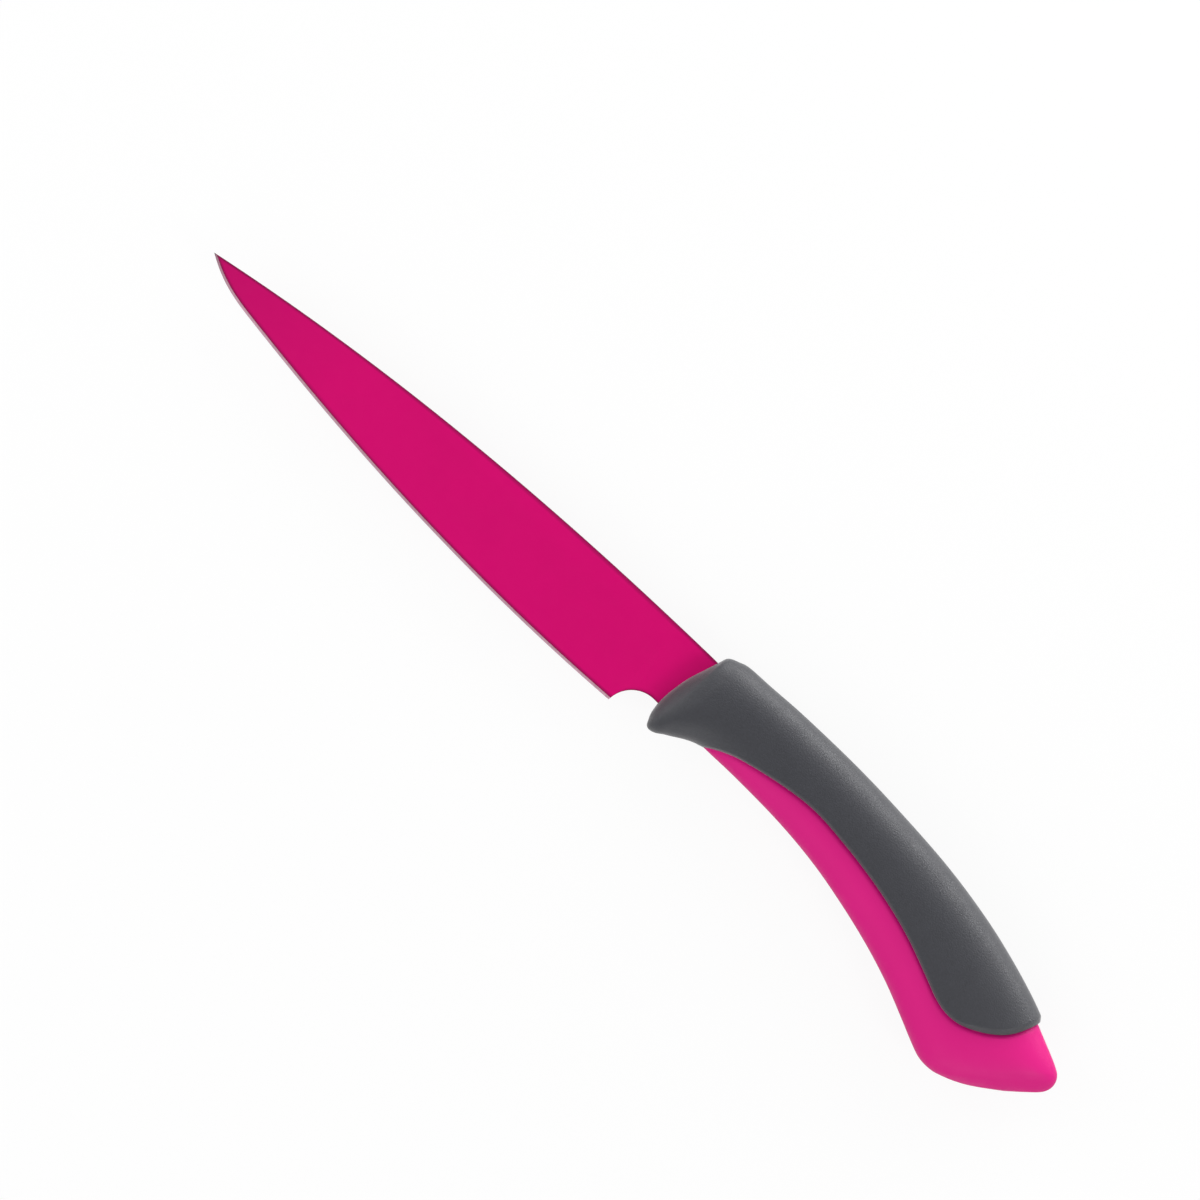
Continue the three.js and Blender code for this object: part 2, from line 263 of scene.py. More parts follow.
def blade_tree(sizes, coat, bare_steel):
    """The blade as a rule: a column of section points for each place along the edge, notch and neck."""
    tree, size, output = new_tree("blade", sizes)
    last_row = sum(STEPS_UP)
    ring = 2 * last_row + 2
    grid_values = {"Vertices X": sum(STEPS_ALONG) + 1, "Vertices Y": ring + 1}
    grid = add_node(tree, "GeometryNodeMeshGrid", grid_values)
    index = Amount(add_node(tree, "GeometryNodeInputIndex").outputs[0])
    # Whole numbers are compared half a step off, clear of rounding.
    column = ((index + 0.5) / (ring + 1.0)).math("FLOOR")
    turn = (index - column * (ring + 1.0)).math("MODULO", float(ring))
    row = turn.least(ring - 1.0 - turn)
    side = 1.0 - 2.0 * (last_row + 0.5 - turn).below(0.0)
    on_point, on_edge, on_choil, on_neck, on_end = stretches(column, STEPS_ALONG)

    drop, heel_drop = size["Point drop"], size["Heel drop"]
    heel_x = -size["Heel to grip"]
    edge_run = heel_x + size["Blade length"] - size["Point length"]
    quarter = on_choil * (math.pi / 2)
    x = (
        bezier(on_point, *POINT_ALONG) * size["Point length"] - size["Blade length"]
        + bezier(on_edge, *EDGE_ALONG) * edge_run
        + (1.0 - quarter.math("COSINE")) * size["Choil radius"]
        + on_neck * (size["Shoulder depth"] - heel_x - size["Choil radius"])
    )
    edge_handles = (-EDGE_HANDLE_AT_POINT * drop, -EDGE_HANDLE_AT_HEEL * heel_drop)
    edge = (
        bezier(on_point, *POINT_DOWN) * drop + drop
        + bezier(on_edge, -drop, *edge_handles, -heel_drop)
    )
    bottom = edge + quarter.math("SINE") * size["Choil radius"]
    top = bezier((x / size["Blade length"] + 1.0).share(), *SPINE_UP) * size["Spine rise"]
    height = top - bottom

    in_bevel, in_face, in_corner = stretches(row, STEPS_UP)
    bevel_band = size["Bevel width"].least(height * BEVEL_LIMIT)
    corner_band = (size["Corner radius"] * SPINE_BAND).least(height * SPINE_BAND_LIMIT)
    up = (
        in_bevel * in_bevel * bevel_band
        + in_face * (height - bevel_band - corner_band)
        + (1.0 - (1.0 - in_corner) ** 2.0) * corner_band
    )
    from_edge = bottom + up - edge
    full = size["Steel thickness"]
    lift = ((x - heel_x) / size["Plunge length"]).most(0.0) * full
    bevel_slope = (size["Bevel thickness"] - size["Edge thickness"]) / 2.0 / size["Bevel width"]
    grind_slope = (full - size["Bevel thickness"]) / 2.0 / (size["Grind width"] - size["Bevel width"])
    ground = size["Bevel thickness"] / 2.0 + (from_edge - size["Bevel width"]) * grind_slope + lift
    sharpened = size["Edge thickness"] / 2.0 + from_edge * bevel_slope + lift
    half = (full / 2.0).least(ground).least(sharpened)
    radius = size["Corner radius"].least(half * CORNER_LIMIT)

    def rounding(distance):
        inside = (radius - distance).most(0.0)
        return radius - (radius * radius - inside * inside).most(0.0).math("SQRT")

    z = side * (half - rounding(up) - rounding(height - up)) * (1.0 - on_end)
    shape_values = {"Geometry": grid.outputs["Mesh"], "Position": vector(tree, x, bottom + up, z)}
    shape = add_node(tree, "GeometryNodeSetPosition", shape_values).outputs[0]

    # Painted shade on the coat: darker along the spine's corner and, a little less, beside the bare strip.
    before_choil = 1.0 - on_choil.math("CEIL")
    from_strip = up - bevel_band * before_choil
    edge_shade_width = size["Corner radius"] * EDGE_SHADE_REACH
    at_strip = 1.0 - (from_strip / edge_shade_width).share()
    at_spine = 1.0 - ((height - up) / edge_shade_width).share()
    painted_edge_shade = at_spine.most(at_strip * STRIP_EDGE_SHADE)
    strip = row.below(STEPS_UP[0] + 0.5) * column.below(STEPS_ALONG[0] + STEPS_ALONG[1] + 0.5)
    strip = add_node(
        tree, "GeometryNodeFieldOnDomain", {0: strip.socket}, domain="POINT", data_type="FLOAT"
    )
    bare = Amount(strip.outputs[0]).math("GREATER_THAN", ALL_POINTS_BARE)
    for name, domain, amount in (("painted_edge_shade", "POINT", painted_edge_shade), ("bare", "FACE", bare)):
        values = {"Geometry": shape, "Name": name, "Value": amount.socket}
        kept = add_node(tree, "GeometryNodeStoreNamedAttribute", values, domain=domain, data_type="FLOAT")
        shape = kept.outputs[0]
    welded = add_node(tree, "GeometryNodeMergeByDistance", {"Geometry": shape, "Distance": WELD_DISTANCE})
    whole = joined(tree, "UNION", welded.outputs[0], tang_plate(tree, size, 0.0))
    whole = moved(tree, whole, *origin)
    whole = add_node(tree, "GeometryNodeRealizeInstances", {"Geometry": whole}).outputs[0]
    whole = add_node(tree, "GeometryNodeSetMaterial", {"Geometry": whole, "Material": coat}).outputs[0]
    stripe = add_node(tree, "GeometryNodeInputNamedAttribute", {"Name": "bare"}, data_type="FLOAT")
    stripe = Amount(stripe.outputs[0]).math("GREATER_THAN", 0.5)
    bare_values = {"Geometry": whole, "Selection": stripe.socket, "Material": bare_steel}
    whole = add_node(tree, "GeometryNodeSetMaterial", bare_values).outputs[0]
    tree.links.new(whole, output.inputs[0])
    return tree


def new_material(name, **sockets):
    """A material with a Principled shader whose plain sockets are set. Returns it, its tree and shader."""
    material = bpy.data.materials.new(name)
    material.use_nodes = True
    shader = material.node_tree.nodes["Principled BSDF"]
    for socket, value in sockets.items():
        shader.inputs[socket.replace("_", " ").title().replace("Ior", "IOR")].default_value = value
    return material, material.node_tree, shader


def noise(tree, size, detail=2.0, stretch=(1.0, 1.0, 1.0)):
    """Noise with features of about one size in metres, on Object coordinates."""
    place = add_node(tree, "ShaderNodeTexCoord").outputs["Object"]
    place = add_node(tree, "ShaderNodeMapping", {"Vector": place, "Scale": stretch}).outputs[0]
    values = {"Vector": place, "Scale": 1.0 / size, "Detail": detail}
    return add_node(tree, "ShaderNodeTexNoise", values).outputs["Fac"]


def spread(tree, value, low, high, start=0.3, end=0.7):
    """A value from start to end, mapped to the range from low to high."""
    values = {"Value": value, "From Min": start, "From Max": end, "To Min": low, "To Max": high}
    return add_node(tree, "ShaderNodeMapRange", values).outputs["Result"]


def blended(tree, share, first, second):
    """A colour between two, by a share. A Mix node takes its two colours at inputs 6 and 7."""
    values = {0: share, 6: first, 7: second}
    return add_node(tree, "ShaderNodeMix", values, data_type="RGBA").outputs[2]


def bumped(tree, height, depth, under=None):
    """Normals of a relief so deep, on top of another relief where one is given."""
    values = {"Height": height, "Distance": depth}
    if under is not None:
        values["Normal"] = under
    return add_node(tree, "ShaderNodeBump", values).outputs["Normal"]


def dress(tree, shader, colour, roughness, normal):
    """Links what varies over a surface to its shader."""
    for socket, value in (("Base Color", colour), ("Roughness", roughness), ("Normal", normal)):
        tree.links.new(value, shader.inputs[socket])


def towards_tip(tree, reach):
    """A share that grows from 0 at some reach from the blade's tip to 1 at the tip."""
    place = add_node(tree, "ShaderNodeTexCoord").outputs["Object"]
    along = add_node(tree, "ShaderNodeSeparateXYZ", {0: place}).outputs["X"]
    return spread(tree, along, 1.0, 0.0, start=blade_low.x, end=blade_low.x + reach)


def coat_material():
    """Satin non-stick coat: pink, faintly mottled, fine orange peel, with painted shade at corners and tip.
    """
    pink = (0.618, 0.0014, 0.145, 1)
    pink_deep = (0.602, 0.0014, 0.141, 1)
    # Painted shade: the coat darkens towards the tip and along its corners.
    pink_shaded_at_tip = (0.500, 0.0020, 0.122, 1)
    corner_shade_pink = (0.110, 0.0040, 0.038, 1)
    material, tree, shader = new_material("coat", specular_ior_level=0.1)
    mottle = spread(tree, noise(tree, size=9 * mm, detail=3.0), low=0.0, high=1.0)
    colour = blended(tree, mottle, pink, pink_deep)
    # Painted shade towards the tip.
    colour = blended(tree, towards_tip(tree, reach=45 * mm), colour, pink_shaded_at_tip)
    painted_edge_shade = add_node(tree, "ShaderNodeAttribute", attribute_name="painted_edge_shade").outputs["Fac"]
    # Painted shade at the corners and beside the bare strip.
    colour = blended(tree, painted_edge_shade, colour, corner_shade_pink)
    roughness = spread(tree, noise(tree, size=2.5 * mm, detail=3.0), low=0.36, high=0.46)
    orange_peel = bumped(tree, noise(tree, size=0.5 * mm), depth=0.004 * mm)
    grain = bumped(tree, noise(tree, size=0.12 * mm), depth=0.0015 * mm, under=orange_peel)
    dress(tree, shader, colour, roughness, grain)
    return material


def bare_steel_material():
    """Ground steel with fine scratches square to the edge, a painted pink coat reflection and painted tip
    shade.
    """
    # Grey steel with a painted pink reflection of the coat beside it.
    steel_dull = (0.60, 0.36, 0.44, 1)
    steel_bright = (0.82, 0.50, 0.60, 1)
    # Painted shade at the tip.
    steel_shaded_at_tip = (0.20, 0.11, 0.14, 1)
    material, tree, shader = new_material("ground_steel", metallic=1.0)
    scratches = noise(tree, size=0.06 * mm, stretch=(1.0, 0.08, 0.08))
    colour = blended(tree, spread(tree, scratches, low=0.0, high=1.0), steel_dull, steel_bright)
    # Painted shade towards the tip.
    colour = blended(tree, towards_tip(tree, reach=14 * mm), colour, steel_shaded_at_tip)
    roughness = spread(tree, scratches, low=0.30, high=0.46)
    dress(tree, shader, colour, roughness, bumped(tree, scratches, depth=0.003 * mm))
    return material


def crisp_edges(mesh, angle_degrees):
    """Smooth faces, with sharp edges where faces meet at more than an angle or materials change."""
    body = bmesh.new()
    body.from_mesh(mesh)
    for face in body.faces:
        face.smooth = True
    for edge in body.edges:
        finishes = {face.material_index for face in edge.link_faces}
        edge.smooth = len(finishes) == 1 and edge.calc_face_angle(0.0) < math.radians(angle_degrees)
    body.to_mesh(mesh)
    body.free()


steel_sizes = {
    "Steel thickness": STEEL_THICKNESS,
    "Shoulder depth": SHOULDER_DEPTH,
    "Tang length": TANG_LENGTH,
    "Tang depth": TANG_DEPTH,
    "Hole diameter": TANG_HOLE_DIAMETER,
    "Hole pitch": TANG_HOLE_PITCH,
    "First hole": FIRST_TANG_HOLE,
}
blade_sizes = {
    **steel_sizes,
    "Blade length": BLADE_LENGTH,
    "Spine rise": SPINE_RISE,
    "Point length": POINT_LENGTH,
    "Point drop": POINT_DROP,
    "Heel drop": HEEL_DROP,
    "Heel to grip": HEEL_TO_GRIP,
    "Choil radius": CHOIL_RADIUS,
    "Grind width": GRIND_WIDTH,
    "Bevel width": BEVEL_WIDTH,
    "Bevel thickness": BEVEL_THICKNESS,
    "Edge thickness": EDGE_THICKNESS,
    "Plunge length": PLUNGE_LENGTH,
    "Corner radius": CORNER_RADIUS,
}
blade = mesh_from_tree(
    "coated_blade", blade_tree(blade_sizes, coat_material(), bare_steel_material()), blade_sizes
)
crisp_edges(blade.data, CRISP_ANGLE)
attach(blade, "root")
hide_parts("blade")

# Handle core
# Hard pink plastic, moulded round the tang. It shows along the belly and as the whole butt, and is
# sunk under the grip. Its shape is a smooth skin over ribs between the spine side and the belly side.

HANDLE_LENGTH = 130 * mm
HANDLE_WIDTH = 17 * mm
SLEEVE_WALL = 3.585 * mm        # plastic above and below the blade's neck
BUTT_DROP = 15.3 * mm           # the handle curves down by this much towards the butt
SECTION_SQUARENESS = 2.5        # 2 is an ellipse, and more is squarer
CORE_FRONT = 5 * mm             # the core begins this far behind the front of the grip
CORE_FRONT_WIDTH = 10 * mm
CORE_FRONT_WALL = 2.4 * mm      # plastic above and below the tang there
GRIP_INLAY = 1.4 * mm           # how deep the core is sunk under the grip
INLAY_MARGIN = 0.9 * mm         # the sinking begins this far inside the grip's edge
INLAY_RAMP = 1.5 * mm           # and reaches its depth over this width
GROOVE_DEPTH = 0.6 * mm         # the core dips towards the foot of the grip's lip
GROOVE_WIDTH = 1.3 * mm
TANG_CLEARANCE = 0.05 * mm
SEAM_WELD = 0.0005 * mm         # points closer together than this become one
SLIVER_LENGTH = 0.0001 * mm     # edges shorter than this are dissolved

handle_depth = SPINE_RISE - neck_bottom + 2 * SLEEVE_WALL


def place(along, across):
    """A place on the side view, as shares of the handle's length and depth."""
    return along * HANDLE_LENGTH, axis_height + across * handle_depth - BUTT_DROP * along ** 3


def ribs_of(rows):
    """Ribs as rows of spine end x, y, belly end x, y and half width, all in metres."""
    return np.array([
        [*place(spine_along, spine_across), *place(belly_along, belly_across), width * HANDLE_WIDTH / 2]
        for spine_along, spine_across, belly_along, belly_across, width in rows
    ])


def grown(ribs, on_spine, on_belly, on_side):
    """Ribs that reach further at the spine, at the belly and to the sides."""
    across = ribs[:, 0:2] - ribs[:, 2:4]
    across = across / np.linalg.norm(across, axis=1, keepdims=True)
    ends = [ribs[:, 0:2] + on_spine * across, ribs[:, 2:4] - on_belly * across]
    return np.column_stack([*ends, ribs[:, 4] + on_side])


def along_rail(points, number):
    """Places on a smooth rail through points, at numbers that count from 0 at the first point."""
    number = np.asarray(number, float)
    padded = np.vstack([2 * points[0] - points[1], points, 2 * points[-1] - points[-2]])
    first = np.clip(np.floor(number).astype(int), 0, len(points) - 2)
    t = (number - first)[..., None]
    a, b, c, d = (padded[first + k] for k in range(4))
    return b + t / 2 * (c - a + t * (2 * a - 5 * b + 4 * c - d + t * (3 * (b - c) + d - a)))


def skin(ribs, number, angle):
    """Points of a skin over ribs. The angle goes round a section: 0 at the spine, pi at the belly."""
    rib = along_rail(ribs, number)
    c, s = np.cos(angle), np.sin(angle)
    power = SECTION_SQUARENESS
    reach = (np.abs(c) ** power + np.abs(s) ** power) ** (-1 / power)
    spine, belly = rib[..., 0:2], rib[..., 2:4]
    side_view = (spine + belly) / 2 + (spine - belly) / 2 * (reach * c)[..., None]
    depth = rib[..., 4] * reach * s
    return np.concatenate([side_view, depth[..., None]], -1) + np.array(origin)


def outward(ribs, number, angle, step=1e-3, least_length=1e-15):
    """Unit vectors that point out of a skin, or next to nothing where the skin ends in a point."""
    along = skin(ribs, number + step, angle) - skin(ribs, number - step, angle)
    about = skin(ribs, number, angle + step) - skin(ribs, number, angle - step)
    normal = np.cross(about, along)
    length = np.linalg.norm(normal, axis=-1, keepdims=True)
    return normal / np.maximum(length, least_length)


# From the front to the butt: the places of a rib's spine end and belly end, and its share of the width.
core_ribs = ribs_of([
    [0.110, 0.495, 0.095, -0.341, 0.78],
    [0.191, 0.527, 0.183, -0.326, 0.82],
    [0.321, 0.560, 0.293, -0.322, 0.89],
    [0.439, 0.577, 0.388, -0.346, 0.93],
    [0.564, 0.595, 0.476, -0.398, 0.97],
    [0.678, 0.592, 0.564, -0.465, 0.99],
    [0.772, 0.571, 0.641, -0.541, 1.00],
    [0.852, 0.541, 0.707, -0.625, 1.00],
    [0.915, 0.499, 0.755, -0.684, 0.98],
    [0.968, 0.468, 0.784, -0.701, 0.91],
    [0.986, 0.431, 0.813, -0.665, 0.79],
    [0.992, 0.347, 0.838, -0.591, 0.60],
    [0.987, 0.245, 0.861, -0.505, 0.43],
    [0.971, 0.121, 0.887, -0.385, 0.30],
    [0.935, -0.124, 0.935, -0.124, 0.00],
])
front_half = TANG_DEPTH / 2 + CORE_FRONT_WALL
front_rib = np.array([[
    CORE_FRONT, axis_height + front_half, CORE_FRONT, axis_height - front_half, CORE_FRONT_WIDTH / 2,
]])
# One rib more in front than the visible core has, so its own ribs count from 1 here.
moulded_ribs = np.vstack([grown(front_rib, GRIP_INLAY, GRIP_INLAY, GRIP_INLAY), core_ribs])

# The grip's edge on the side, from the belly to the spine side: a core rib's number, and the place
# along it, 1 at its spine end and -1 at its belly end. Both ends run on a little past the core.
grip_edge = np.array([
    [-0.05, -1.08], [0.5, -0.76], [1, -0.56], [2, -0.265], [3, -0.235], [4.5, -0.275], [5.9, -0.36],
    [6.6, -0.37], [7.1, -0.28], [7.42, -0.1], [7.68, 0.2], [7.74, 0.55], [7.5, 1.12],
])
EDGE_SAMPLES = 4000
END_SAMPLES = 30
edge_place = np.linspace(0, len(grip_edge) - 1, EDGE_SAMPLES)
edge_number, edge_share = along_rail(grip_edge, edge_place).T


def edge_on_skin(share):
    """The stretch of the grip's edge that lies on a skin: places on it, rib numbers and angles."""
    kept = np.abs(share) <= 1
    share = share[kept]
    share[0], share[-1] = -1, 1
    width = (1 - np.abs(share) ** SECTION_SQUARENESS) ** (1 / SECTION_SQUARENESS)
    # The angle jumps at both ends, so more places are set between the last two there.
    step = np.arange(len(share))
    at_belly = np.linspace(0, 1, END_SAMPLES, endpoint=False)
    at_spine = np.linspace(step[-2], step[-1], END_SAMPLES)
    filled = np.concatenate([at_belly, step[1:-2], at_spine])
    parts = (edge_place[kept], edge_number[kept], np.arctan2(width, share))
    return tuple(np.interp(filled, step, part) for part in parts)


def nearest_on_edge(edge_points, points):
    """For points in any grid: the distance to the grip's edge, and the number of the edge point."""
    tree = KDTree(len(edge_points))
    for number, point in enumerate(edge_points):
        tree.insert(point, number)
    tree.balance()
    found = [tree.find(point) for point in points.reshape(-1, 3)]
    distances = np.array([distance for _, _, distance in found]).reshape(points.shape[:-1])
    numbers = np.array([number for _, number, _ in found]).reshape(points.shape[:-1])
    return distances, numbers


def ease(t):
    """A share that begins and ends gently."""
    t = np.clip(t, 0, 1)
    return t * t * (3 - 2 * t)


def core_surface(number, angle, inset):
    """The core's surface at core rib numbers and angles, by how far inside the grip's edge each place is.

    It is grooved towards the foot of the grip's lip, and sunk under the grip.
    """
    groove = GROOVE_DEPTH * np.clip(1 + inset / GROOVE_WIDTH, 0, 1) ** 2 * np.sin(angle)
    sink = groove + (GRIP_INLAY - groove) * ease((inset - INLAY_MARGIN) / INLAY_RAMP)
    point = skin(moulded_ribs, number + 1, angle)
    return point - outward(moulded_ribs, number + 1, angle) * sink[..., None]


def closed_mesh(name, sheets, material):
    """An object from sheets of points on the upper half, mirrored to the lower half and welded."""
    body = bmesh.new()
    for sheet in sheets:
        for flip in (1, -1):
            mirror = np.array([1, 1, flip])
            points = (sheet - np.array(origin)) * mirror + np.array(origin)
            rows = [[body.verts.new(point) for point in row] for row in points]
            for low, high in zip(rows, rows[1:]):
                for k in range(len(low) - 1):
                    corners = [low[k], high[k], high[k + 1], low[k + 1]]
                    body.faces.new(corners[::flip])
    bmesh.ops.remove_doubles(body, verts=body.verts, dist=SEAM_WELD)
    bmesh.ops.dissolve_degenerate(body, edges=body.edges, dist=SLIVER_LENGTH)
    bmesh.ops.recalc_face_normals(body, faces=body.faces)
    mesh = bpy.data.meshes.new(name)
    body.to_mesh(mesh)
    body.free()
    mesh.materials.append(material)
    thing = bpy.data.objects.new(name, mesh)
    bpy.context.scene.collection.objects.link(thing)
    return thing


def cut_out(thing, cutter):
    """Cuts another object's space out of an object's mesh."""
    modifier = thing.modifiers.new("cut", "BOOLEAN")
    modifier.operation = "DIFFERENCE"
    modifier.solver = "MANIFOLD"
    modifier.object = cutter
    evaluated = thing.evaluated_get(bpy.context.evaluated_depsgraph_get())
    thing.data = bpy.data.meshes.new_from_object(evaluated)
    thing.data.name = thing.name
    thing.modifiers.remove(modifier)


def tang_space_tree(sizes):
    """The room that the neck and the tang take up in the plastic."""
    tree, size, output = new_tree("tang_space", sizes)
    grow = size["Clearance"]
    neck_end = size["Shoulder depth"] + grow
    neck_start = -size["Heel to grip"]
    neck_depth = 2.0 * grow + (SPINE_RISE - neck_bottom)
    neck_thickness = size["Steel thickness"] + 2.0 * grow
    neck_size = vector(tree, neck_end - neck_start, neck_depth, neck_thickness)
    neck = add_node(tree, "GeometryNodeMeshCube", {"Size": neck_size}).outputs["Mesh"]
    neck = moved(tree, neck, (neck_start + neck_end) / 2.0, axis_height, 0.0)
    space = joined(tree, "UNION", neck, tang_plate(tree, size, grow))
    space = moved(tree, space, *origin)
    space = add_node(tree, "GeometryNodeRealizeInstances", {"Geometry": space}).outputs[0]
    tree.links.new(space, output.inputs[0])
    return tree


def core_material():
    """Satin hard plastic: even pink with the faint cloud and fine spark finish of its mould."""
    pink = (0.700, 0.0018, 0.212, 1)
    pink_deep = (0.682, 0.0017, 0.206, 1)
    material, tree, shader = new_material("pink_plastic", specular_ior_level=0.3)
    cloud = spread(tree, noise(tree, size=14 * mm, detail=3.0), low=0.0, high=1.0)
    roughness = spread(tree, noise(tree, size=3 * mm, detail=3.0), low=0.50, high=0.58)
    spark_finish = bumped(tree, noise(tree, size=0.25 * mm), depth=0.003 * mm)
    dress(tree, shader, blended(tree, cloud, pink, pink_deep), roughness, spark_finish)
    return material


# The core's points lie closest together along the grip's edge: rows at its rear, columns at its side.
ROWS_AHEAD, ROWS_AT_REAR, ROWS_BEHIND = 115, 46, 84
REAR_ROWS_FROM, REAR_ROWS_TO = 7.2, 8.1         # as rib numbers
COLUMNS_ABOVE, COLUMNS_IN_BAND, COLUMNS_BELOW = 30, 27, 20
SIDE_BAND = 0.2                 # half the angle of the columns along the side edge
FRONT_FACE_RINGS = 6

core_edge = edge_on_skin(edge_share)
_, line_number, line_angle = core_edge
row_number = np.concatenate([
    np.linspace(-1, REAR_ROWS_FROM, ROWS_AHEAD, endpoint=False),
    np.linspace(REAR_ROWS_FROM, REAR_ROWS_TO, ROWS_AT_REAR, endpoint=False),
    np.linspace(REAR_ROWS_TO, len(core_ribs) - 1, ROWS_BEHIND),
])
side_edge = line_number[:np.argmax(line_number > REAR_ROWS_FROM)]
band_angle = np.interp(row_number, side_edge, line_angle[:len(side_edge)])
band_angle = np.minimum(band_angle, np.pi - SIDE_BAND)[:, None]
column = np.arange(COLUMNS_ABOVE + COLUMNS_IN_BAND + COLUMNS_BELOW + 1)
above_band = np.clip(column / COLUMNS_ABOVE, 0, 1)
in_band = np.clip((column - COLUMNS_ABOVE) / COLUMNS_IN_BAND, 0, 1)
below_band = np.clip((column - COLUMNS_ABOVE - COLUMNS_IN_BAND) / COLUMNS_BELOW, 0, 1)
core_angle = (
    above_band * (band_angle - SIDE_BAND)
    + in_band * 2 * SIDE_BAND
    + below_band * (np.pi - band_angle - SIDE_BAND)
)
core_number = np.broadcast_to(row_number[:, None], core_angle.shape)
core_skin = skin(moulded_ribs, core_number + 1, core_angle)
edge_distance, nearest = nearest_on_edge(skin(moulded_ribs, line_number + 1, line_angle), core_skin)
beside_edge = (
    np.gradient(line_number)[nearest] * (core_angle - line_angle[nearest])
    - np.gradient(line_angle)[nearest] * (core_number - line_number[nearest])
)
core_inset = np.where(beside_edge < 0, edge_distance, -edge_distance)
core_points = core_surface(core_number, core_angle, core_inset)
front_centre = core_points[0].mean(0) * np.array([1, 1, 0]) + np.array([0, 0, origin.z])
ring_share = np.linspace(0, 1, FRONT_FACE_RINGS)[:, None, None]
front_face = front_centre + (core_points[0] - front_centre) * ring_share
core = closed_mesh("pink_handle_core", [front_face, core_points], core_material())

space_sizes = {**steel_sizes, "Heel to grip": HEEL_TO_GRIP, "Clearance": TANG_CLEARANCE}
tang_space = mesh_from_tree("tang_space", tang_space_tree(space_sizes), space_sizes)
cut_out(core, tang_space)
crisp_edges(core.data, CRISP_ANGLE)
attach(core, "root")
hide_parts("handle_core")

# Grip
# Grey soft plastic, moulded over the core. It wraps the whole front end with a finger stop under the
# heel, runs back over the spine side, and ends on the core in a bevelled lip.

GRIP_PROUD_SPINE = 1.5 * mm     # how far it stands above the core, at the spine, side and belly
GRIP_PROUD_SIDE = 1.5 * mm
GRIP_PROUD_BELLY = 0.35 * mm
GRIP_CLEARANCE = 0.02 * mm
LIP_WIDTH = 0.7 * mm
LIP_WIDTH_REAR = 1.4 * mm
LIP_SHARE = 0.5                 # share of the step down to the core that is bevelled off
LIP_ROUNDING = 1.35             # 1 is a flat bevel, and more begins softer
BELLY_COLUMNS = 30
GRIP_CRISP_ANGLE = 50

nose_ribs = ribs_of([
    [-0.016, -0.288, -0.016, -0.288, 0.00],
    [-0.013, -0.130, -0.014, -0.388, 0.26],
    [-0.007, 0.045, -0.011, -0.471, 0.44],
    [0.003, 0.215, -0.006, -0.533, 0.58],
    [0.012, 0.365, -0.001, -0.581, 0.67],
    [0.019, 0.456, 0.007, -0.598, 0.75],
    [0.038, 0.506, 0.020, -0.577, 0.83],
    [0.059, 0.540, 0.040, -0.506, 0.89],
])
NOSE = len(nose_ribs)
RIBS_UNDER_GRIP = 10
ribs_under_grip = core_ribs[:RIBS_UNDER_GRIP]
proud_ribs = grown(ribs_under_grip, GRIP_PROUD_SPINE, GRIP_PROUD_BELLY, GRIP_PROUD_SIDE)
grip_ribs = np.vstack([nose_ribs, proud_ribs])

# The edge goes straight down to the core, so on the prouder skin it has other places along the ribs.
edge_ribs = along_rail(core_ribs, edge_number)
rib_depth = np.linalg.norm(edge_ribs[:, 0:2] - edge_ribs[:, 2:4], axis=1)
from_belly = (1 + edge_share) / 2 * rib_depth + GRIP_PROUD_BELLY
grip_line = edge_on_skin(2 * from_belly / (rib_depth + GRIP_PROUD_SPINE + GRIP_PROUD_BELLY) - 1)
grip_places, grip_numbers, grip_angles = grip_line
grip_edge_points = skin(grip_ribs, grip_numbers + NOSE, grip_angles)

# The half surface is two patches: a collar from the front point back to the front corner of the edge,
# and a saddle from there to the rear, between the spine, the side edge and the rear edge.
FRONT_CORNER = 1.0              # places on the edge, as numbers of its points
REAR_CORNER = 9.75
REAR_BLEND = 1.5                # the lip widens over this stretch before the rear corner


def packed_at_end(count, zone, zone_count=13, packing=1.7):
    """Shares from 0 to 1: so many at even steps, and more that lie closer together in a zone at the end."""
    spread_out = np.linspace(0, 1 - zone, count, endpoint=False)
    return np.concatenate([spread_out, 1 - zone * np.linspace(1, 0, zone_count) ** packing])


across = packed_at_end(count=40, zone=0.10)
back = packed_at_end(count=150, zone=0.035)
ahead = packed_at_end(count=52, zone=0.022)


def collar(line):
    """Rib numbers and angles of the collar, for the edge on one skin."""
    places, numbers, angles = line
    front_places = np.append(places[places < FRONT_CORNER], FRONT_CORNER)
    front_numbers = np.interp(front_places, places, numbers)
    front_angles = np.interp(front_places, places, angles)
    corner = front_angles[-1]
    angle = np.concatenate([across * corner, np.linspace(corner, np.pi, BELLY_COLUMNS)[1:]])
    end = np.interp(-angle, -front_angles, front_numbers) + NOSE
    number = ahead[:, None] * end
    return number, np.broadcast_to(angle, number.shape)


def saddle(line):
    """Rib numbers and angles of the saddle, for the edge on one skin: a patch between four lines."""
    places, numbers, angles = line

    def on_edge(place):
        return np.stack([np.interp(place, places, numbers), np.interp(place, places, angles)], -1)

    rear_numbers, rear_angles = on_edge(np.append(REAR_CORNER, places[places > REAR_CORNER])).T
    front_number, front_angle = on_edge(FRONT_CORNER)
    end_angle = across * rear_angles[0]
    spine_side = np.stack([front_number + back * (numbers[-1] - front_number), 0 * back], -1)
    edge_side = on_edge(FRONT_CORNER + back * (REAR_CORNER - FRONT_CORNER))
    start = np.stack([0 * across + front_number, across * front_angle], -1)
    end = np.stack([np.interp(-end_angle, -rear_angles, rear_numbers), end_angle], -1)
    along, over = back[:, None, None], across[None, :, None]
    patch = (
        (1 - over) * spine_side[:, None] + over * edge_side[:, None] + (1 - along) * start + along * end
        - (1 - along) * ((1 - over) * start[0] + over * start[-1])
        - along * ((1 - over) * end[0] + over * end[-1])
    )
    return patch[..., 0] + NOSE, patch[..., 1]


